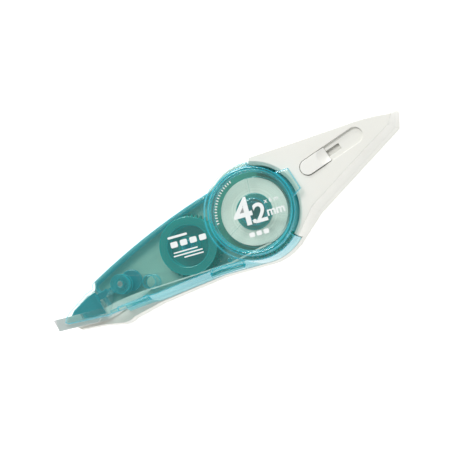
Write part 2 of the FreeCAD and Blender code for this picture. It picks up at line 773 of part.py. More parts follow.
def blade_shape(name, spare):
    """The applicator: a wedge from a thin edge back to a flat tang."""
    plan = prism(f"{name}_plan", blade_corners(spare), "blade_level - 2", "blade_level + 2")
    side = side_prism(
        f"{name}_side",
        [
            (f"-blade_back - {spare}", f"blade_level - 0.16 - {spare}"),
            ("-71.5", f"blade_level - 0.8 - {spare}"),
            ("-60", f"blade_level - 0.8 - {spare}"),
            ("-60", f"blade_level + 0.6 + {spare}"),
            ("-72.5", f"blade_level + 0.6 + {spare}"),
            (f"-blade_back - {spare}", f"blade_level + 0.16 + {spare}"),
        ],
        "20",
    )
    return shared(name, plan, side)


def make_applicator():
    return keep(blade_shape("applicator_head", "0"), "applicator_head")


def make_head_holder():
    """The wedge in the nose that grips the applicator's tang, on an arm and a round foot."""
    plan = prism(
        "wedge_plan",
        [
            ("-61", "5.9"),
            ("-64.5", "5.7"),
            ("-nose_back + 5", "4.2"),
            ("-nose_back + 2.2", "2.4"),
            ("-nose_back + 2.6", "1.5"),
            ("-66", "-1.4"),
            ("-61", "-2.6"),
        ],
        "4",
        "11",
    )
    side = side_prism(
        "wedge_side",
        [
            ("-nose_back + 1", "7.0"),
            ("-70", "6.4"),
            ("-62", "5.9"),
            ("-62", "8.3"),
            ("-66", "8.3"),
            ("-70", "8.05"),
            ("-nose_back + 1", "7.6"),
        ],
        "20",
    )
    foot_low = f"{CASE_INSIDE} + 0.1"
    foot_high = f"{CASE_INSIDE} + 1.2"
    foot = post("holder_foot", "3.7", foot_low, foot_high, "-roller_back + 2.8", "roller_side")
    arm = bar("holder_arm", "9", "2.2", foot_low, foot_high, "-59.4", "3.9")
    riser = bar("holder_riser", "1.4", "2.2", foot_low, "6.6", "-59.4", "3.9")
    bridge = bar("holder_bridge", "5", "2.2", "5.5", "6.6", "-63", "3.9")
    solid = fused("holder_solid", shared("holder_wedge", plan, side), foot, arm, riser, bridge)
    eye = post("holder_eye", "pin_radius + 0.05", "0", "12", "-roller_back", "roller_side")
    holder = cut("head_holder", solid, eye, blade_shape("holder_slot", "0.04"))
    return keep(holder, "head_holder")


def make_roller():
    """The guide roller between two thin flanges, on a steel pin."""
    bore = "pin_radius + running_gap"
    low, high = f"({TAPE_LOW} - 0.1)", f"({TAPE_HIGH} + 0.1)"
    profile = [
        (bore, f"{low} - 0.5"),
        ("roller_radius", f"{low} - 0.5"),
        ("roller_radius", low),
        ("roller_core", low),
        ("roller_core", high),
        ("roller_radius", high),
        ("roller_radius", f"{high} + 0.4"),
        (bore, f"{high} + 0.4"),
    ]
    keep(turned("guide_roller", profile, "-roller_back", "roller_side"), "guide_roller")
    pin = turned(
        "roller_pin",
        [
            ("0", CASE_INSIDE),
            ("pin_radius", CASE_INSIDE),
            ("pin_radius", f"{high} + 0.5"),
            ("pin_radius - 0.3", f"{high} + 0.8"),
            ("0", f"{high} + 0.8"),
        ],
        "-roller_back",
        "roller_side",
    )
    keep(pin, "roller_pin")


# ---- reels ---------------------------------------------------------------------------


def make_gear(name, teeth, bore, hub, hub_high, x, y, turn):
    """A spur gear: a turned blank, one tooth gap and a polar pattern of it."""
    pitch = f"(gear_module * {teeth} / 2)"
    tip = f"({pitch} + tooth_tip)"
    profile = [
        (bore, GEAR_LOW),
        (tip, GEAR_LOW),
        (tip, GEAR_HIGH),
        (hub, GEAR_HIGH),
        (hub, hub_high),
        (bore, hub_high),
    ]
    body = turned(name, profile, x, y)
    doc.recompute()
    blank = body.Shape.Volume
    sketch = body.newObject("Sketcher::SketchObject", f"{name}_gap")
    support = next(f for f in body.Origin.OriginFeatures if f.Role == "XY_Plane")
    sketch.AttachmentSupport = [(support, "")]
    sketch.MapMode = "FlatFace"
    sketch.setExpression("AttachmentOffset.Base.z", bound(f"{GEAR_HIGH} + 0.05"))
    half = "(pi * gear_module / 4 + 0.06)"
    flank = "tan(20)"
    outline(
        sketch,
        [
            (f"{pitch} - tooth_root", f"-{half} + tooth_root * {flank}"),
            (f"{tip} + 0.2", f"-{half} - (tooth_tip + 0.2) * {flank}"),
            (f"{tip} + 0.2", f"{half} + (tooth_tip + 0.2) * {flank}"),
            (f"{pitch} - tooth_root", f"{half} - tooth_root * {flank}"),
        ],
    )
    pocket = body.newObject("PartDesign::Pocket", f"{name}_pocket")
    pocket.Profile = sketch
    pocket.setExpression("Length", bound("gear_width + 0.1"))
    pattern = body.newObject("PartDesign::PolarPattern", f"{name}_teeth")
    pattern.Originals = [pocket]
    pattern.Axis = (sketch, ["N_Axis"])
    pattern.Angle = 360
    pattern.setExpression("Occurrences", bound(teeth))
    body.Tip = pattern
    body.Placement.Rotation = Rotation(Vector(0, 0, 1), value(turn))
    doc.recompute()
    if body.Shape.Volume >= blank:
        raise SystemExit(f"{name}: the tooth gaps cut nothing")
    return keep(body, name)


def make_supply_reel():
    bore = "supply_post + running_gap"
    half_tooth = "180 / supply_teeth"
    turn = f"180 - take_up_rise + {half_tooth}"
    hub_high = f"{FLANGE_LOW} - 0.1"
    make_gear("supply_gear", "supply_teeth", bore, f"{bore} + 0.7", hub_high, "0", "0", turn)
    ring_high = f"{FLANGE_LOW} - 0.12"
    keep(tube("clutch_ring", "8.2", f"{bore} + 0.9", GEAR_HIGH, ring_high), "clutch_ring")
    spool = turned(
        "supply_spool",
        [
            (bore, FLANGE_LOW),
            ("spool_flange", FLANGE_LOW),
            ("spool_flange", f"{FLANGE_LOW} + flange"),
            ("spool_core", f"{FLANGE_LOW} + flange"),
            ("spool_core", f"{TAPE_HIGH} + 0.3"),
            (bore, f"{TAPE_HIGH} + 0.3"),
        ],
    )
    keep(spool, "supply_spool")
    keep(tube("tape_roll", "roll_full", "spool_core", TAPE_LOW, TAPE_HIGH), "tape_roll")


def make_take_up_reel():
    bore = "take_up_post + running_gap"
    place = (TAKE_UP_X, TAKE_UP_Y)
    make_gear("take_up_gear", "take_up_teeth", bore, "4.2", FLANGE_LOW, *place, "-take_up_rise")
    low, top = f"({TAPE_HIGH} + 0.3)", f"({TAPE_HIGH} + 0.3 + flange)"
    profile = [
        (bore, FLANGE_LOW),
        ("take_up_core", FLANGE_LOW),
        ("take_up_core", low),
        ("take_up_flange", low),
        ("take_up_flange", top),
        ("take_up_core - 0.9", top),
        ("take_up_core - 0.9", f"{FLANGE_LOW} + 0.8"),
        ("3.2", f"{FLANGE_LOW} + 0.8"),
        ("3.2", top),
        (bore, top),
    ]
    keep(turned("take_up_spool", profile, *place), "take_up_spool")
    film = tube("film_roll", "film_full", "take_up_core", TAPE_LOW, TAPE_HIGH, *place)
    keep(film, "film_roll")


# ---- tape ----------------------------------------------------------------------------


def tangent(c1, r1, c2, r2, side1, side2):
    """The straight run that touches two circles: side +1 keeps the circle on the left."""
    dx, dy = c2[0] - c1[0], c2[1] - c1[1]
    reach = math.hypot(dx, dy)
    offset = side1 * r1 - side2 * r2
    angle = math.atan2(dy, dx) + math.asin(offset / reach)
    normal = (-math.sin(angle), math.cos(angle))
    first = (c1[0] - side1 * r1 * normal[0], c1[1] - side1 * r1 * normal[1])
    last = (c2[0] - side2 * r2 * normal[0], c2[1] - side2 * r2 * normal[1])
    return first, last


def ribbon(name, stations):
    """A thin strip through stations (x, y, z, heading, lean): the heading is its direction
    in plan and the lean turns its width from upright, 0, to flat, 90."""
    half = value("tape_width") / 2
    thin = value("tape_thick") / 2
    wires = []
    for x, y, z, heading, lean in stations:
        across = Vector(-math.sin(heading), math.cos(heading), 0)
        up = Vector(0, 0, 1)
        tip = math.radians(lean)
        wide = up * math.cos(tip) + across * math.sin(tip)
        thick = across * math.cos(tip) - up * math.sin(tip)
        centre = Vector(x, y, z)
        spots = [
            centre + wide * (half * a) + thick * (thin * b)
            for a, b in ((-1, -1), (1, -1), (1, 1), (-1, 1), (-1, -1))
        ]
        wires.append(Part.makePolygon(spots))
    strip = doc.addObject("Part::Feature", name)
    strip.Shape = Part.makeLoft(wires, True, True)
    return keep(strip, name)


def arc_stations(centre, radius, start, stop, z, count, way):
    """Upright stations round a post, from one angle to another."""
    found = []
    for i in range(count + 1):
        angle = start + (stop - start) * i / count
        x = centre[0] + radius * math.cos(angle)
        y = centre[1] + radius * math.sin(angle)
        found.append((x, y, z, angle + way * math.pi / 2, 0))
    return found


def aim(centre, spot):
    return math.atan2(spot[1] - centre[1], spot[0] - centre[0])


def make_tape():
    """The two strands, each kept a hair clear of what it runs on."""
    hair = value("tape_thick") / 2 + 0.05
    middle = value(f"{TAPE_LOW} + tape_width / 2")
    supply, take_up = (0.0, 0.0), (value(TAKE_UP_X), value(TAKE_UP_Y))
    peg = (-value("peg_back"), -value("peg_side"))
    guide = (-value("post_back"), -value("post_side"))
    roller = (-value("roller_back"), value("roller_side"))
    level = value("blade_level")
    slope = math.tan(math.radians(value("blade_turn")))

    def blade_spot(x):
        return value("blade_side") - (x + value("blade_back")) * slope

    down = math.pi - math.radians(value("blade_turn"))
    leave, meet = tangent(supply, value("roll_full") + 0.25, peg, value("peg_radius") + hair, -1, -1)
    off, onto = tangent(peg, value("peg_radius") + hair, guide, value("post_radius") + hair, -1, -1)
    run = [(*leave, middle, aim(leave, meet), 0)]
    run += arc_stations(peg, value("peg_radius") + hair, aim(peg, meet), aim(peg, off), middle, 2, -1)
    last = aim(guide, onto) - 0.35
    run += arc_stations(guide, value("post_radius") + hair, aim(guide, onto), last, middle, 3, -1)
    root = -63.2
    target = (root, blade_spot(root))
    start = run[-1][:2]
    for share in (0.25, 0.5, 0.75):
        x = start[0] + (target[0] - start[0]) * share
        y = start[1] + (target[1] - start[1]) * share
        z = middle + (level - 2.15 - middle) * share
        run.append((x, y, z, aim(start, target), -90 * share))
    run.append((*target, level - 2.15, down, -90))
    for x, drop in ((-70.0, 1.3), (-value("blade_back") + 0.4, 0.34)):
        run.append((x, blade_spot(x), level - drop, down, -90))
    ribbon("tape_feed", run)

    film = value("film_full") + 0.25
    over = value("post_radius") + hair
    leave, touch = tangent(roller, value("roller_core") + hair, guide, over, -1, -1)
    go, meet = tangent(guide, over, take_up, film, -1, 1)
    back = aim(roller, leave)
    run = []
    for x, lift in ((-value("blade_back") + 0.4, 0.34), (-70.0, 0.9), (-62.2, 1.1)):
        run.append((x, blade_spot(x), level + lift, down - math.pi, 90))
    start = run[-1]
    _, reached = tangent(start, 0.0, roller, value("roller_core") + hair, 1, -1)
    first = arc_stations(
        roller, value("roller_core") + hair, aim(roller, reached), back, middle, 6, -1
    )
    target = first[0]
    for share, z, lean in ((0.3, 0.7, 60), (0.55, 0.3, 28), (0.75, 0.0, 0)):
        x, y = (start[i] + (target[i] - start[i]) * share for i in range(2))
        heading = start[3] + (target[3] - start[3]) * share
        run.append((x, y, middle + z, heading, lean))
    run += first
    run += arc_stations(guide, over, aim(guide, touch), aim(guide, go), middle, 1, -1)
    run.append((*meet, middle, aim(go, meet), 0))
    ribbon("film_return", run)


# ---- build, check and write ----------------------------------------------------------

make_holder_tray()
make_tail_cover()
make_slider()
make_lock_tongue()
make_detent_spring()
make_lower_case()
make_upper_case()
make_ring_window()
make_applicator()
make_head_holder()
make_roller()
make_supply_reel()
make_take_up_reel()
make_tape()
doc.recompute()

for item in doc.Objects:
    if "Invalid" in item.State or "Error" in item.State:
        raise SystemExit(f"{item.Label} did not build: {item.State}")
for part in PARTS:
    if part.Shape.isNull() or not part.Shape.isValid():
        raise SystemExit(f"{part.Label} has no valid shape")

os.makedirs("parts", exist_ok=True)
for part in PARTS:
    part.Shape.exportStep(f"parts/{part.Label}.step")
    count = len(part.Shape.Solids)
    print(f"{part.Label}: {count} solid(s), {part.Shape.Volume:.1f} mm3")
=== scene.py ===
import math

import bmesh
import bpy
from mathutils import Matrix, Vector


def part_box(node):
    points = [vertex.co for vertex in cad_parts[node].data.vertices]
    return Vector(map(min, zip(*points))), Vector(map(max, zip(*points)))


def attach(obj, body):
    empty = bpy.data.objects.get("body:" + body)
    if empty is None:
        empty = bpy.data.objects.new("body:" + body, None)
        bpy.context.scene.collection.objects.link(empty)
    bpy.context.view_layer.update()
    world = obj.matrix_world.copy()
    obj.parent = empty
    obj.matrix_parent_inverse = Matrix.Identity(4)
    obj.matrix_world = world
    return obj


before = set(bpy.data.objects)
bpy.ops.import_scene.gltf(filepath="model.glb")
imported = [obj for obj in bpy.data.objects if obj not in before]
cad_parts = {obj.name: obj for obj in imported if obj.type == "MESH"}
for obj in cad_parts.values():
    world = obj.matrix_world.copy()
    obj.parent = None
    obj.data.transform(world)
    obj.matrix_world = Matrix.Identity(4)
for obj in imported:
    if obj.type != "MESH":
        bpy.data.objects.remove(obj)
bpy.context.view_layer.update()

MM = 0.001

# ---- holder: tray and tail cover -----------------------------------------------------
# The body held in the hand: a shallow tray and, behind the ring, a hollow tail cover.
# Both are injection moulded in white ABS from a finely spark-eroded tool and snap together.


def srgb(code):
    """A linear colour from an sRGB hex value."""
    linear = []
    for start in (1, 3, 5):
        c = int(code[start : start + 2], 16) / 255
        linear.append(c / 12.92 if c <= 0.04045 else ((c + 0.055) / 1.055) ** 2.4)
    return (*linear, 1.0)


def add(tree, kind, settings=None, links=None):
    """One node, with its settings and with what feeds its sockets."""
    node = tree.nodes.new(kind)
    for key, setting in (settings or {}).items():
        if isinstance(key, str) and hasattr(node, key):
            setattr(node, key, setting)
        else:
            node.inputs[key].default_value = setting
    for key, source in (links or {}).items():
        tree.links.new(source, node.inputs[key])
    return node


def new_material(name):
    """An empty node material: the material, its tree and its output."""
    material = bpy.data.materials.new(name)
    material.use_nodes = True
    tree = material.node_tree
    tree.nodes.clear()
    return material, tree, tree.nodes.new("ShaderNodeOutputMaterial")


def grain_bump(tree, grain_mm, depth_mm, normal=None):
    """The relief of a moulded surface whose grain is this size."""
    where = add(tree, "ShaderNodeTexCoord")
    noise = add(
        tree,
        "ShaderNodeTexNoise",
        {"Scale": 1 / (grain_mm * MM), "Detail": 3.0, "Roughness": 0.6},
        {"Vector": where.outputs["Object"]},
    )
    links = {"Height": noise.outputs["Fac"]}
    if normal:
        links["Normal"] = normal
    return add(tree, "ShaderNodeBump", {"Strength": 0.6, "Distance": depth_mm * MM}, links)


def white_moulding(name, colour, shade, roughness):
    """ABS or POM, moulded: opaque white with a low sheen from the tool's erosion, and a
    grain of about 0.1 mm. The grain is drawn at 0.5 mm so that it shows."""
    material, tree, output = new_material(name)
    where = add(tree, "ShaderNodeTexCoord")
    cloud = add(
        tree,
        "ShaderNodeTexNoise",
        {"Scale": 1 / (14 * MM), "Detail": 4.0},
        {"Vector": where.outputs["Object"]},
    )
    tone = add(
        tree,
        "ShaderNodeMix",
        {"data_type": "RGBA", 6: srgb(colour), 7: srgb(shade)},
        {0: cloud.outputs["Fac"]},
    )
    edge = add(tree, "ShaderNodeBevel", {"samples": 4, "Radius": 0.3 * MM})
    relief = grain_bump(tree, 0.5, 0.012, edge.outputs["Normal"])
    rough = add(
        tree,
        "ShaderNodeMapRange",
        {"To Min": roughness - 0.04, "To Max": roughness + 0.06},
        {"Value": cloud.outputs["Fac"]},
    )
    shader = add(
        tree,
        "ShaderNodeBsdfPrincipled",
        {"IOR": 1.53, "Subsurface Weight": 0.12, "Subsurface Scale": 0.8 * MM},
        {
            "Base Color": tone.outputs[2],
            "Roughness": rough.outputs[0],
            "Normal": relief.outputs[0],
        },
    )
    shader.inputs["Subsurface Radius"].default_value = (1.0, 0.95, 0.85)
    tree.links.new(shader.outputs[0], output.inputs[0])
    return material


def finish_node(name, material):
    """Gives a CAD node its material."""
    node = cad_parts[name]
    for slot in node.material_slots:
        slot.material = material
    return node


holder_abs = white_moulding("holder_white_abs_fine_grain", "#E9E9E3", "#E1E1DA", 0.36)
finish_node("holder_tray", holder_abs)
finish_node("tail_cover", holder_abs)

# ---- thumb slider and lock tongue ----------------------------------------------------
# The button in the tail's track and the plate under the cover that its leg snaps into.
# Both are moulded in the holder's white ABS; the button's face is polished by the thumb.

finish_node("thumb_slider", white_moulding("slider_white_abs_satin", "#EBEBE6", "#E5E5DF", 0.3))
finish_node("lock_tongue", white_moulding("tongue_white_abs_plain", "#E4E4DD", "#DADAD2", 0.42))

# ---- detent spring and roller pin ----------------------------------------------------
# A bowed leaf cut from spring steel strip, and the guide roller's pin, a length of ground
# steel wire. Both are bare metal with fine drawing lines along their length.


def drawn_steel(name, stretch):
    """Steel, cold drawn: bright grey with fine lines along the draw. The lines are about
    0.05 mm apart; they are drawn at 0.2 mm so that they show."""
    material, tree, output = new_material(name)
    where = add(tree, "ShaderNodeTexCoord")
    along = add(
        tree, "ShaderNodeMapping", {"Scale": stretch}, {"Vector": where.outputs["Object"]}
    )
    lines = add(
        tree,
        "ShaderNodeTexNoise",
        {"Scale": 1 / (0.2 * MM), "Detail": 2.0},
        {"Vector": along.outputs[0]},
    )
    rough = add(
        tree,
        "ShaderNodeMapRange",
        {"To Min": 0.18, "To Max": 0.36},
        {"Value": lines.outputs["Fac"]},
    )
    tone = add(
        tree,
        "ShaderNodeMix",
        {"data_type": "RGBA", 6: srgb("#C6C6C2"), 7: srgb("#A9AAA8")},
        {0: lines.outputs["Fac"]},
    )
    relief = add(
        tree,
        "ShaderNodeBump",
        {"Strength": 0.3, "Distance": 0.01 * MM},
        {"Height": lines.outputs["Fac"]},
    )
    shader = add(
        tree,
        "ShaderNodeBsdfPrincipled",
        {"Metallic": 1.0},
        {
            "Base Color": tone.outputs[2],
            "Roughness": rough.outputs[0],
            "Normal": relief.outputs[0],
        },
    )
    tree.links.new(shader.outputs[0], output.inputs[0])
    return material


finish_node("detent_spring", drawn_steel("spring_steel_strip", (0.05, 1, 1)))
finish_node("roller_pin", drawn_steel("pin_ground_steel_wire", (1, 1, 0.05)))

# ---- lower and upper case ------------------------------------------------------------
# The refill's two halves, moulded in clear teal polystyrene in polished tools and snapped
# together. A wall seen edge on looks deep cyan, because light travels along inside it.
# Both halves also have a painted glow: a weak emission in their own teal.


def clear_plastic(name, seen, lit, rim, least, most, roughness, edge_mm=1.0, painted_glow=0.1):
    """Clear plastic with a polished face: what lies behind shows through it, tinted. It
    gets denser where a wall is seen edge on and along its edges. It has a painted glow:
    a weak emission in its own tint that stands for light carried along inside the wall,
    and that makes the denser edges brighter. Its flow marks are about 9 mm long, and a
    wall's rear face adds almost no colour of its own."""
    material, tree, output = new_material(name)
    edge = add(tree, "ShaderNodeBevel", {"samples": 6, "Radius": edge_mm * MM})
    face = add(tree, "ShaderNodeNewGeometry")
    flow_place = add(tree, "ShaderNodeTexCoord")
    flow = add(
        tree,
        "ShaderNodeTexNoise",
        {"Scale": 1 / (9 * MM), "Detail": 2.0},
        {"Vector": flow_place.outputs["Object"]},
    )
    wave = add(
        tree,
        "ShaderNodeBump",
        {"Strength": 0.35, "Distance": 0.12 * MM},
        {"Height": flow.outputs["Fac"], "Normal": edge.outputs["Normal"]},
    )
    turn = add(
        tree,
        "ShaderNodeVectorMath",
        {"operation": "DOT_PRODUCT"},
        {0: edge.outputs["Normal"], 1: face.outputs["Normal"]},
    )
    either_side = add(
        tree, "ShaderNodeMath", {"operation": "ABSOLUTE"}, {0: turn.outputs["Value"]}
    )
    near_edge = add(
        tree,
        "ShaderNodeMapRange",
        {"From Min": 1.0, "From Max": 0.85},
        {"Value": either_side.outputs[0]},
    )
    front = add(
        tree,
        "ShaderNodeMath",
        {"operation": "MULTIPLY_ADD", 1: -0.9, 2: 1.0},
        {0: face.outputs["Backfacing"]},
    )
    facing = add(
        tree, "ShaderNodeLayerWeight", {"Blend": 0.35}, {"Normal": edge.outputs["Normal"]}
    )
    density = add(
        tree,
        "ShaderNodeMapRange",
        {"To Min": least, "To Max": most},
        {"Value": facing.outputs["Facing"]},
    )
    dense = add(
        tree,
        "ShaderNodeMath",
        {"operation": "MULTIPLY_ADD", 1: 0.7, "use_clamp": True},
        {0: near_edge.outputs[0], 2: density.outputs[0]},
    )
    dense_front = add(
        tree,
        "ShaderNodeMath",
        {"operation": "MULTIPLY"},
        {0: dense.outputs[0], 1: front.outputs[0]},
    )
    sheer = add(
        tree,
        "ShaderNodeMath",
        {"operation": "MULTIPLY_ADD", 1: 1.3, "use_clamp": True},
        {0: facing.outputs["Facing"], 2: near_edge.outputs[0]},
    )
    tone = add(
        tree,
        "ShaderNodeMix",
        {"data_type": "RGBA", 6: srgb(lit), 7: srgb(rim)},
        {0: sheer.outputs[0]},
    )
    # Painted glow: the emission lights the plastic in its own tint, most where it is dense.
    shader = add(
        tree,
        "ShaderNodeBsdfPrincipled",
        {"IOR": 1.57, "Roughness": roughness, "Emission Strength": painted_glow},
        {
            "Base Color": tone.outputs[2],
            "Emission Color": tone.outputs[2],
            "Normal": wave.outputs[0],
        },
    )
    through = add(tree, "ShaderNodeBsdfTransparent", {"Color": srgb(seen)})
    both = add(
        tree,
        "ShaderNodeMixShader",
        {},
        {0: dense_front.outputs[0], 1: through.outputs[0], 2: shader.outputs[0]},
    )
    glance = add(tree, "ShaderNodeLayerWeight", {"Blend": 0.5}, {"Normal": wave.outputs[0]})
    steep = add(
        tree,
        "ShaderNodeMath",
        {"operation": "POWER", 1: 4.0},
        {0: glance.outputs["Facing"]},
    )
    share = add(
        tree,
        "ShaderNodeMath",
        {"operation": "MULTIPLY_ADD", 1: 0.8, 2: 0.05},
        {0: steep.outputs[0]},
    )
    share_front = add(
        tree,
        "ShaderNodeMath",
        {"operation": "MULTIPLY"},
        {0: share.outputs[0], 1: front.outputs[0]},
    )
    polish = add(
        tree,
        "ShaderNodeBsdfGlossy",
        {"Color": (1, 1, 1, 1), "Roughness": roughness},
        {"Normal": wave.outputs[0]},
    )
    whole = add(
        tree,
        "ShaderNodeMixShader",
        {},
        {0: share_front.outputs[0], 1: both.outputs[0], 2: polish.outputs[0]},
    )
    tree.links.new(whole.outputs[0], output.inputs[0])
    return material


case_clear = clear_plastic(
    "case_clear_teal_polystyrene",
    seen="#F6FCFA",
    lit="#3CCBD0",
    rim="#08AFC4",
    least=0.04,
    most=1.0,
    roughness=0.06,
    edge_mm=1.0,
    painted_glow=0.3,
)
finish_node("upper_case", case_clear)
lower_clear = clear_plastic(
    "lower_case_clear_teal_polystyrene",
    seen="#F4FBF8",
    lit="#2FC0C4",
    rim="#08A2B6",
    least=0.05,
    most=0.95,
    roughness=0.1,
    edge_mm=1.0,
    painted_glow=0.3,
)
finish_node("lower_case", lower_clear)

# ---- reels: gears, clutch and spools -------------------------------------------------
# Two meshing gears in green POM, the rubber clutch ring that lets the supply spool slip,
# and the two spools in tinted clear polystyrene.


def green_pom(name):
    """POM, moulded: a slightly waxy green with a soft sheen and faint flow marks."""
    material, tree, output = new_material(name)
    where = add(tree, "ShaderNodeTexCoord")
    cloud = add(
        tree,
        "ShaderNodeTexNoise",
        {"Scale": 1 / (5 * MM), "Detail": 3.0},
        {"Vector": where.outputs["Object"]},
    )
    tone = add(
        tree,
        "ShaderNodeMix",
        {"data_type": "RGBA", 6: srgb("#1E9C8E"), 7: srgb("#178579")},
        {0: cloud.outputs["Fac"]},
    )
    edge = add(tree, "ShaderNodeBevel", {"samples": 4, "Radius": 0.12 * MM})
    relief = grain_bump(tree, 0.6, 0.008, edge.outputs["Normal"])
    shader = add(
        tree,
        "ShaderNodeBsdfPrincipled",
        {"IOR": 1.48, "Roughness": 0.34, "Subsurface Weight": 0.2, "Subsurface Scale": 1 * MM},
        {"Base Color": tone.outputs[2], "Normal": relief.outputs[0]},
    )
    tree.links.new(shader.outputs[0], output.inputs[0])
    return material


gear_pom = green_pom("gear_green_pom_satin")
finish_node("supply_gear", gear_pom)
finish_node("take_up_gear", gear_pom)


def clutch_rubber(name):
    """Silicone rubber, moulded: deep green and dull, with a fine dusty grain."""
    material, tree, output = new_material(name)
    relief = grain_bump(tree, 0.3, 0.02)
    shader = add(
        tree,
        "ShaderNodeBsdfPrincipled",
        {"Base Color": srgb("#1B7461"), "IOR": 1.52, "Roughness": 0.7},
        {"Normal": relief.outputs[0]},
    )
    tree.links.new(shader.outputs[0], output.inputs[0])
    return material


finish_node("clutch_ring", clutch_rubber("clutch_green_silicone_rubber"))
# The spools have a painted glow too: a weak emission in their own tint.
spool_clear = clear_plastic(
    "spool_clear_teal_polystyrene",
    seen="#8FD9D0",
    lit="#0C8C88",
    rim="#12A6A8",
    least=0.7,
    most=0.97,
    roughness=0.12,
    edge_mm=0.5,
    painted_glow=0.22,
)
finish_node("supply_spool", spool_clear)
finish_node("take_up_spool", spool_clear)

# ---- tape and film -------------------------------------------------------------------
# The correction tape is a white coating on a thin clear film, wound on the supply spool.
# Once the coating has gone onto paper, the film goes back and is wound on the take-up.


def wound_strip(name, light, dark, centre, turn_mm, roughness):
    """A wound strip: its turns show on the side as fine rings. A turn is about 0.03 mm;
    the rings are drawn every half millimetre so that they show."""
    material, tree, output = new_material(name)
    where = add(tree, "ShaderNodeTexCoord")
    moved = add(
        tree,
        "ShaderNodeVectorMath",
        {"operation": "SUBTRACT", 1: centre},
        {0: where.outputs["Object"]},
    )
    flat = add(
        tree,
        "ShaderNodeVectorMath",
        {"operation": "MULTIPLY", 1: (1, 1, 0)},
        {0: moved.outputs[0]},
    )
    reach = add(tree, "ShaderNodeVectorMath", {"operation": "LENGTH"}, {0: flat.outputs[0]})
    rings = add(
        tree,
        "ShaderNodeTexNoise",
        {"noise_dimensions": "1D", "Scale": 1 / (turn_mm * MM), "Detail": 3.0},
        {"W": reach.outputs["Value"]},
    )
    tone = add(
        tree,
        "ShaderNodeMix",
        {"data_type": "RGBA", 6: srgb(dark), 7: srgb(light)},
        {0: rings.outputs["Fac"]},
    )
    relief = add(
        tree,
        "ShaderNodeBump",
        {"Strength": 0.5, "Distance": 0.03 * MM},
        {"Height": rings.outputs["Fac"]},
    )
    shader = add(
        tree,
        "ShaderNodeBsdfPrincipled",
        {"IOR": 1.5, "Roughness": roughness},
        {"Base Color": tone.outputs[2], "Normal": relief.outputs[0]},
    )
    tree.links.new(shader.outputs[0], output.inputs[0])
    return material


def middle(node):
    """The middle of a CAD node's box."""
    low, high = (Vector(corner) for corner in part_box(node))
    return (low + high) / 2


tape_white = wound_strip(
    "tape_white_coating_matt", "#F6F6F1", "#D6DBD5", middle("tape_roll"), 0.5, 0.6
)
finish_node("tape_roll", tape_white)
finish_node("tape_feed", tape_white)
film_wound = wound_strip(
    "film_clear_polyester_wound", "#C9DAD6", "#8FB3AD", middle("film_roll"), 0.3, 0.25
)
finish_node("film_roll", film_wound)
film_clear = clear_plastic(
    "film_clear_polyester",
    seen="#FBFEFD",
    lit="#DDEBE8",
    rim="#E6F0EE",
    least=0.04,
    most=0.5,
    roughness=0.12,
    edge_mm=0.05,
    painted_glow=0.0,
)
finish_node("film_return", film_clear)

# ---- guide roller, head holder and applicator ----------------------------------------
# The film's roller turns on the steel pin. The head holder is a tinted block on an arm,
# and grips the applicator, a white POM blade that presses the tape onto the paper.

# The roller and the head holder have a painted glow: a weak emission in their own tint.
finish_node(
    "guide_roller",
    clear_plastic(
        "roller_clear_teal_polystyrene",
        seen="#C4EEEC",
        lit="#1FA7B2",
        rim="#14B4C4",
        least=0.3,
        most=0.95,
        roughness=0.1,
        edge_mm=0.5,
        painted_glow=0.2,
    ),
)
finish_node(
    "head_holder",
    clear_plastic(
        "head_deep_teal_polystyrene",
        seen="#3FA7AE",
        lit="#087C88",
        rim="#0E96A4",
        least=0.82,
        most=0.98,
        roughness=0.08,
        edge_mm=0.6,
        painted_glow=0.16,
    ),
)
finish_node(
    "applicator_head",
    white_moulding("applicator_white_pom_smooth", "#D6D8D8", "#CBCDCE", 0.34),
)

# ---- ring window ---------------------------------------------------------------------
# The round clear cover over the supply reel. A plug under it turns in the reel's post and
# three thin ribs stiffen it. The tape's width is printed on it in white.

# The window has a painted glow: a weak emission in its own tint.
window_clear = clear_plastic(
    "window_clear_polystyrene",
    seen="#FAFEFC",
    lit="#D3EFEA",
    rim="#4FC2C0",
    least=0.03,
    most=0.8,
    roughness=0.05,
    edge_mm=0.5,
    painted_glow=0.1,
)
finish_node("ring_window", window_clear)


def white_ink(name):
    """Screen ink: a thin, slightly uneven matt white layer."""
    material, tree, output = new_material(name)
    where = add(tree, "ShaderNodeTexCoord")
    patch = add(
        tree,
        "ShaderNodeTexNoise",
        {"Scale": 1 / (1.2 * MM), "Detail": 3.0},
        {"Vector": where.outputs["Object"]},
    )
    tone = add(
        tree,
        "ShaderNodeMix",
        {"data_type": "RGBA", 6: srgb("#FFFFFF"), 7: srgb("#EEF4F2")},
        {0: patch.outputs["Fac"]},
    )
    shader = add(
        tree,
        "ShaderNodeBsdfPrincipled",
        {"IOR": 1.48, "Roughness": 0.45, "Alpha": 0.82},
        {"Base Color": tone.outputs[2]},
    )
    tree.links.new(shader.outputs[0], output.inputs[0])
    return material


ink = white_ink("print_white_screen_ink")


def printed(name, words, size_mm, place, turn, bold_mm=0.0):
    """Words printed flat on a face, as a thin solid whose middle is at a place."""
    curve = bpy.data.curves.new(name, "FONT")
    curve.body = words
    curve.size = size_mm * MM
    curve.align_x = "CENTER"
    curve.align_y = "CENTER"
    curve.offset = bold_mm * MM
    curve.extrude = 0.01 * MM
    drawn = bpy.data.objects.new(f"{name}_outline", curve)
    bpy.context.collection.objects.link(drawn)
    bpy.context.view_layer.update()
    solved = drawn.evaluated_get(bpy.context.evaluated_depsgraph_get())
    mesh = bpy.data.meshes.new_from_object(solved)
    bpy.data.objects.remove(drawn)
    spots = [vertex.co for vertex in mesh.vertices]
    centre = Vector([(min(axis) + max(axis)) / 2 for axis in zip(*spots)])
    spin = Matrix.Rotation(math.radians(turn), 4, "Z")
    mesh.transform(Matrix.Translation(place) @ spin @ Matrix.Translation(-centre))
    mesh.materials.clear()
    mesh.materials.append(ink)
    piece = bpy.data.objects.new(name, mesh)
    bpy.context.collection.objects.link(piece)
    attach(piece, "refill")
    return piece


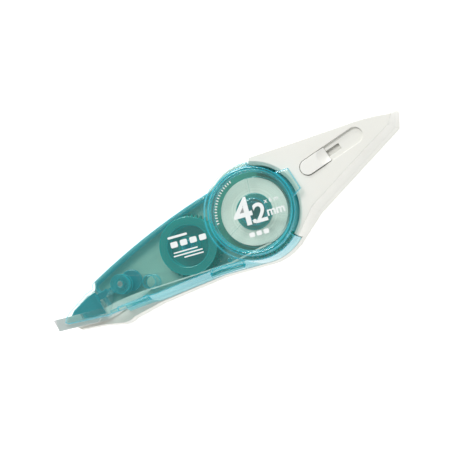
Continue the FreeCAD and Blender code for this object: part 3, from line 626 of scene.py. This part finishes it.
PRINT_TURN = -16  # degrees from the object's length to the lines of print
INK_GAP = 0.02 * MM  # keeps the ink's solid just clear of the face that carries it
window_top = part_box("ring_window")[1][2] + INK_GAP
for name, words, size_mm, x_mm, y_mm, bold_mm in (
    ("print_whole", "4", 13.5, -2.9, 1.2, 0.2),
    ("print_point", ".", 9.0, -0.7, -3.6, 0.15),
    ("print_tenths", "2", 9.2, 2.3, -1.9, 0.18),
    ("print_unit", "mm", 4.2, 7.3, -4.35, 0.1),
    ("print_run", "x 6 m", 2.2, 7.7, -0.1, 0.03),
):
    place = Vector((x_mm * MM, y_mm * MM, window_top))
    printed(name, words, size_mm, place, PRINT_TURN, bold_mm)


def printed_bars(name, bars, level):
    """Rounded bars of ink on a face, each (x, y, length, width, turn) in mm and degrees."""
    mesh = bpy.data.meshes.new(name)
    build = bmesh.new()
    for x, y, length, width, turn in bars:
        corner = min(width / 2, 0.45)
        tilt = Matrix.Rotation(math.radians(turn), 3, "Z")
        ring = []
        for quarter, (side, end) in enumerate(((1, 1), (-1, 1), (-1, -1), (1, -1))):
            for step in range(4):
                angle = math.radians(quarter * 90 + step * 30)
                reach = side * (length / 2 - corner) + corner * math.cos(angle)
                rise = end * (width / 2 - corner) + corner * math.sin(angle)
                spot = (tilt @ Vector((reach, rise, 0)) + Vector((x, y, 0))) * MM
                ring.append(build.verts.new((spot.x, spot.y, level)))
        face = build.faces.new(ring)
        raised = bmesh.ops.extrude_face_region(build, geom=[face])["geom"]
        lifted = [v for v in raised if isinstance(v, bmesh.types.BMVert)]
        bmesh.ops.translate(build, verts=lifted, vec=(0, 0, 0.02 * MM))
    bmesh.ops.recalc_face_normals(build, faces=build.faces)
    build.to_mesh(mesh)
    build.free()
    mesh.materials.append(ink)
    piece = bpy.data.objects.new(name, mesh)
    bpy.context.collection.objects.link(piece)
    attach(piece, "refill")


def in_rows(middle_x, middle_y, bars):
    """Bars placed in rows that lie along the print, about a middle point."""
    tilt = Matrix.Rotation(math.radians(PRINT_TURN), 3, "Z")
    placed = []
    for x, y, length, width in bars:
        spot = tilt @ Vector((x, y, 0))
        placed.append((middle_x + spot.x, middle_y + spot.y, length, width, PRINT_TURN))
    return placed


# Where the case and window carry a maker's words, this one has plain bars of their size.
# The case's bars lie on its flat roof, over the take-up reel. Each row's bar is given as
# (x, y, length, width) in millimetres.
reel = middle("take_up_spool")
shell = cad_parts["upper_case"].data.vertices
case_top = max(vertex.co.z for vertex in shell if vertex.co.x < reel.x)
rows = [(i * 3.4 - 4.2, 1.4, 2.5, 2.0) for i in range(4)]
rows += [(-2.4, 4.0, 7.0, 0.8), (-0.8, -1.4, 8.6, 0.45)]
rows += [(-0.2, -2.5, 10.4, 0.45), (1.6, -3.6, 7.0, 0.45)]
printed_bars("print_case_bars", in_rows(reel.x / MM, reel.y / MM, rows), case_top + INK_GAP)
squares = in_rows(-1.5, -7.8, [(i * 2.5, 0, 1.9, 1.6) for i in (-1, 0, 1)])
ticks = []
TICK_REACH = 12.2  # mm from the window's middle
for number in range(17):
    angle = 96 + number * 4.6
    out = math.radians(angle)
    x, y = TICK_REACH * math.cos(out), TICK_REACH * math.sin(out)
    ticks.append((x, y, 0.9, 0.35, angle))
printed_bars("print_window_bars", squares + ticks, window_top)

# ---- floor, light and camera ---------------------------------------------------------
# A pale floor just under the object, a broad soft light from the upper left, a weaker one
# from the right, and two long strips that draw highlights along the clear case.


def soft_light(name, place, width, height, power):
    """A soft rectangular light that shines on the middle of the object."""
    lamp = bpy.data.lights.new(name, "AREA")
    lamp.shape = "RECTANGLE"
    lamp.size = width
    lamp.size_y = height
    lamp.energy = power
    light = bpy.data.objects.new(name, lamp)
    bpy.context.collection.objects.link(light)
    light.location = place
    light.rotation_euler = (-Vector(place)).to_track_quat("-Z", "Y").to_euler()


def pale_floor():
    """A large plane just under the holder's back."""
    mesh = bpy.data.meshes.new("floor")
    build = bmesh.new()
    reach, drop = 1.5, 0.3 * MM
    square = ((-1, -1), (1, -1), (1, 1), (-1, 1))
    corners = [build.verts.new((x * reach, y * reach, -drop)) for x, y in square]
    build.faces.new(corners)
    build.to_mesh(mesh)
    build.free()
    floor = bpy.data.objects.new("floor", mesh)
    bpy.context.collection.objects.link(floor)
    material, tree, output = new_material("floor_pale_paint")
    shader = add(
        tree,
        "ShaderNodeBsdfPrincipled",
        {
            "Base Color": srgb("#FDFDFD"),
            "Roughness": 0.9,
            "Emission Color": (1, 1, 1, 1),
            "Emission Strength": 0.5,
        },
    )
    tree.links.new(shader.outputs[0], output.inputs[0])
    mesh.materials.append(material)


pale_floor()
world = bpy.data.worlds.new("studio")
bpy.context.scene.world = world
world.use_nodes = True
sky = world.node_tree.nodes["Background"]
sky.inputs["Color"].default_value = (1, 1, 1, 1)
sky.inputs["Strength"].default_value = 0.36
bpy.context.scene.view_settings.view_transform = "Standard"

# The camera looks almost straight down, with the tail up and to the right.
TURN = math.radians(32)
toward = Vector((0.151, -0.143, 0.978)).normalized()
along = (Vector((1, 0, 0)) - toward * toward.x).normalized()
beside = toward.cross(along)
right = along * math.cos(TURN) - beside * math.sin(TURN)
up = along * math.sin(TURN) + beside * math.cos(TURN)

soft_light("light_main", toward * 0.5 - right * 0.35 + up * 0.45, 0.3, 0.3, 3.9)
soft_light("light_fill", toward * 0.6 + right * 0.5 - up * 0.3, 0.35, 0.35, 0.8)
soft_light("light_strip_up", toward * 0.12 - right * 0.2 + up * 0.42, 0.5, 0.06, 0.9)
soft_light("light_strip_low", toward * 0.16 + right * 0.1 - up * 0.42, 0.5, 0.05, 0.5)

DISTANCE = 1.2  # metres from the camera to the window's top
WIDTH = 151.5 * MM  # seen across the frame at that distance
WINDOW_RIGHT = 8.8543333 * MM  # the window's middle from the frame's middle
WINDOW_ABOVE = 4.7806667 * MM
SENSOR = 36  # mm
lens = bpy.data.cameras.new("camera")
lens.sensor_width = SENSOR
lens.lens = SENSOR * DISTANCE / WIDTH
lens.clip_start = 0.05
camera = bpy.data.objects.new("camera", lens)
bpy.context.collection.objects.link(camera)
window = Vector((0, 0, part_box("ring_window")[1][2]))
aim = window - right * WINDOW_RIGHT - up * WINDOW_ABOVE
view = Matrix((right, up, toward)).transposed().to_4x4()
view.translation = aim + toward * DISTANCE
camera.matrix_world = view
bpy.context.scene.camera = camera
